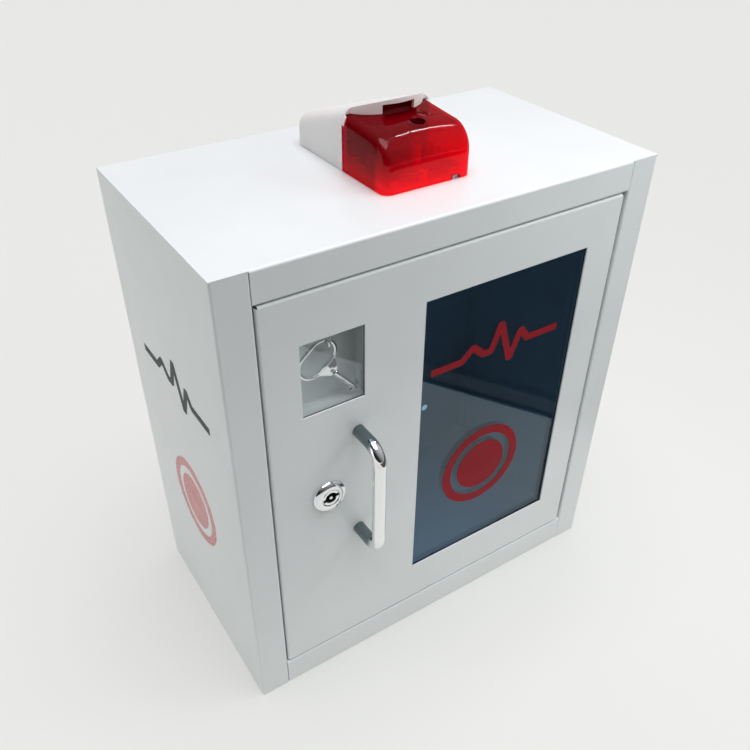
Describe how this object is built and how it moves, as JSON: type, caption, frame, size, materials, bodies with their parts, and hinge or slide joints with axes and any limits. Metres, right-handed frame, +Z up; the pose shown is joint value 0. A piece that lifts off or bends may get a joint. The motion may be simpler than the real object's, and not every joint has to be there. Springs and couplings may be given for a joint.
{
  "type": "defibrillator wall cabinet",
  "caption": "Steel wall cabinet for a defibrillator with a hinged window door, spare key behind a pane, cam lock, bar handle and a strobe siren on top.",
  "frame": {"origin": "middle of the cabinet's base face", "axes": "+Z up; the door faces -Y and the wall is at +Y; +X is to the right seen from the front"},
  "size_m": [0.3604, 0.228, 0.4495],
  "materials": {
    "paint": "satin powder coat, light grey",
    "zinc_steel": "zinc plated",
    "chrome": "polished",
    "tinted_acrylic": "tinted acrylic, glossy",
    "clear_acrylic": "clear acrylic, glossy",
    "window_print": "dark red film",
    "side_print": "red film",
    "grey_print": "dark grey film",
    "white_abs": "white moulded plastic",
    "red_lens": "clear red plastic",
    "black_plastic": "moulded black plastic",
    "red_plastic": "moulded red plastic",
    "black_rubber": "soft rubber",
    "black_foam": "closed-cell foam tape",
    "nylon": "natural nylon",
    "circuit_board": "green solder mask",
    "led": "clear epoxy",
    "cell_wrap": "plain wrapped cell"
  },
  "bodies": {
    "case": {"left_side_panel": "paint", "right_side_panel": "paint", "top_panel": "paint", "bottom_panel": "paint", "back_panel": "paint", "door_stops": "zinc_steel", "stop_bumpers": "black_rubber", "hinge_bushes": "nylon", "contact_switch": "white_abs", "contact_bracket": "zinc_steel", "contact_cable": "black_rubber", "battery_box": "white_abs", "battery_lid": "white_abs", "battery_studs": "zinc_steel", "battery_nuts": "zinc_steel", "batteries": "cell_wrap", "battery_contacts": "zinc_steel", "alarm_switch_body": "black_plastic", "siren_cable": "black_rubber", "cable_grommet": "black_rubber", "siren_base": "white_abs", "siren_screws": "zinc_steel", "siren_board": "circuit_board", "strobe_leds": "led", "siren_sounder": "black_plastic", "siren_housing": "white_abs", "siren_lens": "red_lens", "lens_screw": "zinc_steel", "left_side_pulse": "grey_print", "left_side_disc": "side_print", "right_side_pulse": "grey_print", "right_side_disc": "side_print"},
    "door": {"door_panel": "paint", "hinge_pins": "zinc_steel", "window_seal": "black_foam", "key_seal": "black_foam", "window_pane": "tinted_acrylic", "window_studs": "zinc_steel", "window_clips": "zinc_steel", "window_nuts": "zinc_steel", "window_graphic": "window_print", "key_pane": "clear_acrylic", "key_box": "paint", "key_box_studs": "zinc_steel", "key_box_nuts": "zinc_steel", "key_peg": "chrome", "door_handle": "chrome", "handle_screws": "zinc_steel", "lock_body": "chrome", "lock_nut": "zinc_steel", "contact_magnet": "white_abs"},
    "lock_plug": {"lock_cylinder": "chrome", "lock_cam": "zinc_steel", "cam_nut": "zinc_steel"},
    "key": {"spare_key": "chrome"},
    "rocker": {"alarm_rocker": "red_plastic"}
  },
  "joints": [
    {"name": "door_hinge", "type": "hinge", "parent": "case", "child": "door", "pos_m": [0.147, -0.092, 0.2], "axis": [0, 0, 1], "range_deg": [0, 105]},
    {"name": "lock_turn", "type": "hinge", "parent": "door", "child": "lock_plug", "pos_m": [-0.1095, -0.09, 0.201], "axis": [0, 1, 0], "range_deg": [0, 90]},
    {"name": "key_swing", "type": "hinge", "parent": "door", "child": "key", "pos_m": [-0.1018, -0.0885, 0.3268], "axis": [0, 1, 0], "range_deg": [-3, 10]},
    {"name": "alarm_switch", "type": "hinge", "parent": "case", "child": "rocker", "pos_m": [0.108, 0.0086, 0.381], "axis": [-1, 0, 0], "range_deg": [0, 16]}
  ]
}
